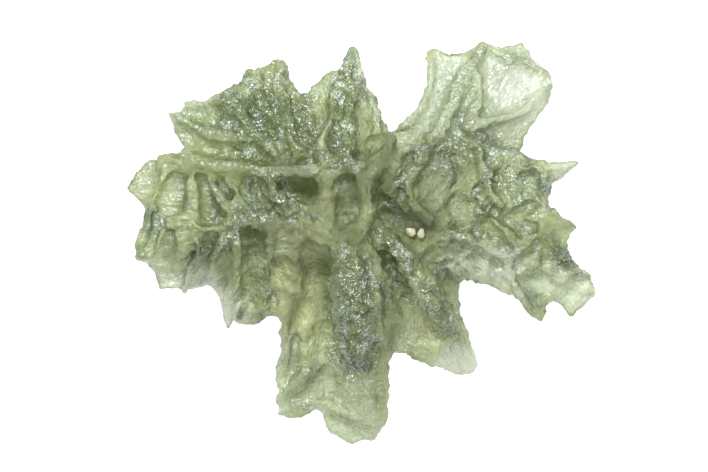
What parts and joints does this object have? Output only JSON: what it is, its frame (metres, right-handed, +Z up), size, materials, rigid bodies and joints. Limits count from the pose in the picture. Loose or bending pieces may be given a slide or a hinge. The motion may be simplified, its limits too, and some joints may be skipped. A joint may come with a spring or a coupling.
{
  "type": "moldavite",
  "caption": "Spiny piece of green moldavite glass: a thick heart with thin jagged lobes, thorns, etched ridges and flutes, resting on a small flat spot.",
  "frame": {"origin": "on the ground, under the middle of the stone's bounding box", "axes": "+X across the face towards the two right thorns, +Y up the face towards the pale upper right lobe, +Z up from the ground"},
  "size_m": [0.0352, 0.0304, 0.0116],
  "materials": {
    "moldavite_glass": "translucent olive-green natural glass, smooth in the flutes and finely etched on the ridges",
    "sand": "matt cream sand grain"
  },
  "bodies": {
    "root": {"moldavite_stone": "moldavite_glass", "sand_grain_left": "sand", "sand_grain_right": "sand"}
  },
  "joints": []
}
